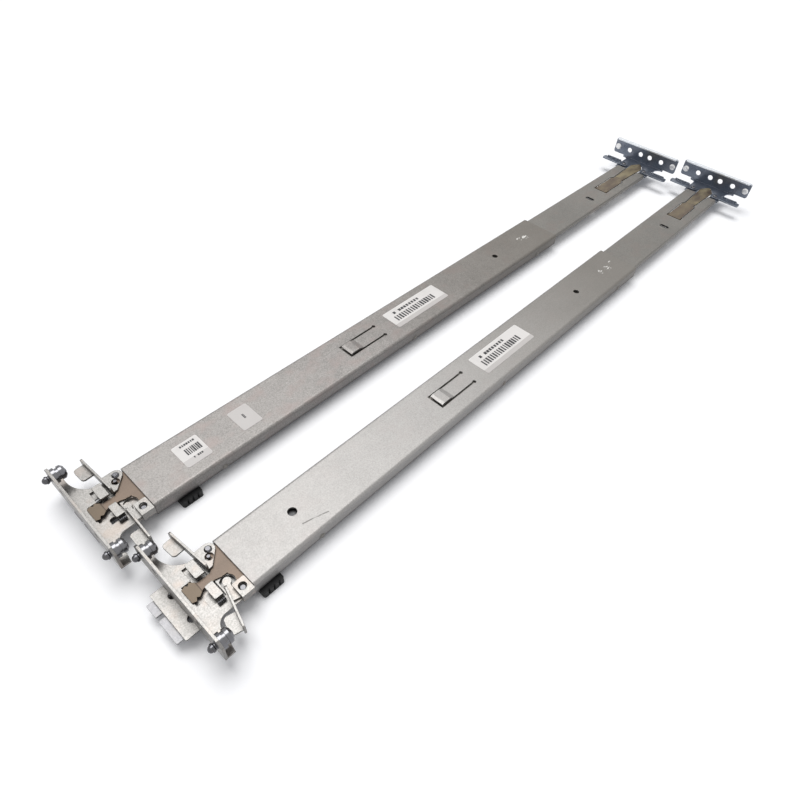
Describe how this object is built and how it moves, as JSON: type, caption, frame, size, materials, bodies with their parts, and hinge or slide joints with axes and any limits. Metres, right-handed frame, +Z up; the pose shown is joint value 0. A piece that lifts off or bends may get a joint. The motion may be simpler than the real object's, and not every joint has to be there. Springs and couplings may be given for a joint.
{
  "type": "sliding server rail pair",
  "caption": "Pair of telescopic server rack rails with ball-bearing slides, pinned front flanges, studded rear flanges and finger latches.",
  "frame": {"origin": "middle of the footprint of both rails, on the surface that they lie on", "axes": "+Y along the rails from the front flanges to the rear flanges, +Z up through the rails' outer faces, +X from the left rail to the right rail"},
  "size_m": [0.1776, 0.7848, 0.0335],
  "materials": {
    "channel_steel": "galvanised, matt",
    "rear_steel": "galvanised, matt",
    "slide_steel": "zinc plated",
    "guide_steel": "bright zinc plated",
    "bracket_steel": "zinc plated",
    "rear_bracket_steel": "blue-grey zinc plated",
    "latch_tan": "tan plated, satin",
    "latch_brown": "olive-brown plated, satin",
    "bright_steel": "polished",
    "pin_steel": "polished",
    "black_plastic": "moulded, matt",
    "glide_plastic": "moulded, matt",
    "label_paper": null
  },
  "bodies": {
    "outer_rails": {"left_front_channel": "channel_steel", "left_front_bracket": "bracket_steel", "left_front_rivets": "bright_steel", "left_arm_spring": "bright_steel", "left_pin_barrels": "bright_steel", "left_upper_pin_spring": "bright_steel", "left_lower_pin_spring": "bright_steel", "left_labels": "label_paper", "left_slide_race": "slide_steel", "left_race_spacers": "slide_steel", "right_front_channel": "channel_steel", "right_front_bracket": "bracket_steel", "right_front_rivets": "bright_steel", "right_arm_spring": "bright_steel", "right_pin_barrels": "bright_steel", "right_upper_pin_spring": "bright_steel", "right_lower_pin_spring": "bright_steel", "right_labels": "label_paper", "right_slide_race": "slide_steel", "right_race_spacers": "slide_steel"},
    "left_slide": {"left_slide_member": "slide_steel", "left_slide_nose": "slide_steel", "left_slide_guide": "guide_steel", "left_slide_rivets": "bright_steel", "left_release_block": "black_plastic"},
    "left_ball_cage": {"left_ball_cage": "slide_steel", "left_bearing_balls": "bright_steel"},
    "left_rear_extension": {"left_rear_channel": "rear_steel", "left_glide_pads": "glide_plastic", "left_rear_bracket": "rear_bracket_steel", "left_rear_studs": "bright_steel", "left_rear_rivets": "bright_steel"},
    "left_rear_latch": {"left_rear_latch": "latch_brown"},
    "left_rear_upper_arm": {"left_rear_upper_arm": "rear_bracket_steel"},
    "left_rear_lower_arm": {"left_rear_lower_arm": "rear_bracket_steel"},
    "left_front_latch": {"left_front_latch": "latch_tan"},
    "left_front_upper_arm": {"left_front_upper_arm": "bracket_steel"},
    "left_front_lower_arm": {"left_front_lower_arm": "bracket_steel"},
    "left_front_upper_pin": {"left_front_upper_pin": "pin_steel"},
    "left_front_lower_pin": {"left_front_lower_pin": "pin_steel"},
    "right_slide": {"right_slide_member": "slide_steel", "right_slide_nose": "slide_steel", "right_slide_guide": "guide_steel", "right_slide_rivets": "bright_steel", "right_release_block": "black_plastic"},
    "right_ball_cage": {"right_ball_cage": "slide_steel", "right_bearing_balls": "bright_steel"},
    "right_rear_extension": {"right_rear_channel": "rear_steel", "right_glide_pads": "glide_plastic", "right_rear_bracket": "rear_bracket_steel", "right_rear_studs": "bright_steel", "right_rear_rivets": "bright_steel"},
    "right_rear_latch": {"right_rear_latch": "latch_brown"},
    "right_rear_upper_arm": {"right_rear_upper_arm": "rear_bracket_steel"},
    "right_rear_lower_arm": {"right_rear_lower_arm": "rear_bracket_steel"},
    "right_front_latch": {"right_front_latch": "latch_tan"},
    "right_front_upper_arm": {"right_front_upper_arm": "bracket_steel"},
    "right_front_lower_arm": {"right_front_lower_arm": "bracket_steel"},
    "right_front_upper_pin": {"right_front_upper_pin": "pin_steel"},
    "right_front_lower_pin": {"right_front_lower_pin": "pin_steel"}
  },
  "joints": [
    {"name": "left_slide_travel", "type": "slide", "parent": "outer_rails", "child": "left_slide", "axis": [0, -1, 0], "range_m": [0, 0.29]},
    {"name": "left_cage_travel", "type": "slide", "parent": "outer_rails", "child": "left_ball_cage", "axis": [0, -1, 0], "range_m": [0, 0.145]},
    {"name": "left_depth_adjust", "type": "slide", "parent": "outer_rails", "child": "left_rear_extension", "axis": [0, 1, 0], "range_m": [-0.145, 0.158]},
    {"name": "left_rear_latch_flex", "type": "hinge", "parent": "left_rear_extension", "child": "left_rear_latch", "pos_m": [-0.04385, 0.26493, 0.014], "axis": [-1, 0, 0], "range_deg": [0, 3.5], "stiffness_Nm_per_rad": 2, "springref_deg": -1.15},
    {"name": "left_rear_upper_arm_swing", "type": "hinge", "parent": "left_rear_extension", "child": "left_rear_upper_arm", "pos_m": [-0.05885, 0.34642, 0.014], "axis": [0, 0, -1], "range_deg": [-3, 14], "stiffness_Nm_per_rad": 0.2},
    {"name": "left_rear_lower_arm_swing", "type": "hinge", "parent": "left_rear_extension", "child": "left_rear_lower_arm", "pos_m": [-0.03085, 0.34642, 0.014], "axis": [0, 0, 1], "range_deg": [-3, 14], "stiffness_Nm_per_rad": 0.2},
    {"name": "left_front_upper_arm_swing", "type": "hinge", "parent": "outer_rails", "child": "left_front_upper_arm", "pos_m": [-0.06255, -0.35507, 0.0155], "axis": [0, 0, 1], "range_deg": [-6, 12.5], "stiffness_Nm_per_rad": 0.2},
    {"name": "left_front_lower_arm_swing", "type": "hinge", "parent": "outer_rails", "child": "left_front_lower_arm", "pos_m": [-0.02715, -0.35507, 0.0142], "axis": [0, 0, -1], "range_deg": [-4, 14.5], "stiffness_Nm_per_rad": 0.2},
    {"name": "left_front_latch_slide", "type": "slide", "parent": "outer_rails", "child": "left_front_latch", "axis": [0, 1, 0], "range_m": [0, 0.003], "stiffness_N_per_m": 400, "springref_m": -0.001},
    {"name": "left_front_upper_pin_press", "type": "slide", "parent": "outer_rails", "child": "left_front_upper_pin", "axis": [0, 1, 0], "range_m": [0, 0.004], "stiffness_N_per_m": 900, "springref_m": -0.002, "deforming": ["left_upper_pin_spring"]},
    {"name": "left_front_lower_pin_press", "type": "slide", "parent": "outer_rails", "child": "left_front_lower_pin", "axis": [0, 1, 0], "range_m": [0, 0.004], "stiffness_N_per_m": 900, "springref_m": -0.002, "deforming": ["left_lower_pin_spring"]},
    {"name": "right_slide_travel", "type": "slide", "parent": "outer_rails", "child": "right_slide", "axis": [0, -1, 0], "range_m": [-0.0133, 0.2767]},
    {"name": "right_cage_travel", "type": "slide", "parent": "outer_rails", "child": "right_ball_cage", "axis": [0, -1, 0], "range_m": [-0.00665, 0.13835]},
    {"name": "right_depth_adjust", "type": "slide", "parent": "outer_rails", "child": "right_rear_extension", "axis": [0, 1, 0], "range_m": [-0.145, 0.158]},
    {"name": "right_rear_latch_flex", "type": "hinge", "parent": "right_rear_extension", "child": "right_rear_latch", "pos_m": [0.04585, 0.27637, 0.014], "axis": [-1, 0, 0], "range_deg": [0, 3.5], "stiffness_Nm_per_rad": 2, "springref_deg": -1.15},
    {"name": "right_rear_upper_arm_swing", "type": "hinge", "parent": "right_rear_extension", "child": "right_rear_upper_arm", "pos_m": [0.03085, 0.35787, 0.014], "axis": [0, 0, -1], "range_deg": [-3, 14], "stiffness_Nm_per_rad": 0.2},
    {"name": "right_rear_lower_arm_swing", "type": "hinge", "parent": "right_rear_extension", "child": "right_rear_lower_arm", "pos_m": [0.05885, 0.35787, 0.014], "axis": [0, 0, 1], "range_deg": [-3, 14], "stiffness_Nm_per_rad": 0.2},
    {"name": "right_front_upper_arm_swing", "type": "hinge", "parent": "outer_rails", "child": "right_front_upper_arm", "pos_m": [0.02715, -0.34363, 0.0155], "axis": [0, 0, 1], "range_deg": [-7.5, 11], "stiffness_Nm_per_rad": 0.2},
    {"name": "right_front_lower_arm_swing", "type": "hinge", "parent": "outer_rails", "child": "right_front_lower_arm", "pos_m": [0.06255, -0.34363, 0.0142], "axis": [0, 0, -1], "range_deg": [-17.3, 1.2], "stiffness_Nm_per_rad": 0.2},
    {"name": "right_front_latch_slide", "type": "slide", "parent": "outer_rails", "child": "right_front_latch", "axis": [0, 1, 0], "range_m": [0, 0.003], "stiffness_N_per_m": 400, "springref_m": -0.001},
    {"name": "right_front_upper_pin_press", "type": "slide", "parent": "outer_rails", "child": "right_front_upper_pin", "axis": [0, 1, 0], "range_m": [0, 0.004], "stiffness_N_per_m": 900, "springref_m": -0.002, "deforming": ["right_upper_pin_spring"]},
    {"name": "right_front_lower_pin_press", "type": "slide", "parent": "outer_rails", "child": "right_front_lower_pin", "axis": [0, 1, 0], "range_m": [0, 0.004], "stiffness_N_per_m": 900, "springref_m": -0.002, "deforming": ["right_lower_pin_spring"]}
  ],
  "couplings": [
    {"joint": "left_cage_travel", "follows": "left_slide_travel", "ratio": 0.5},
    {"joint": "right_cage_travel", "follows": "right_slide_travel", "ratio": 0.5}
  ]
}
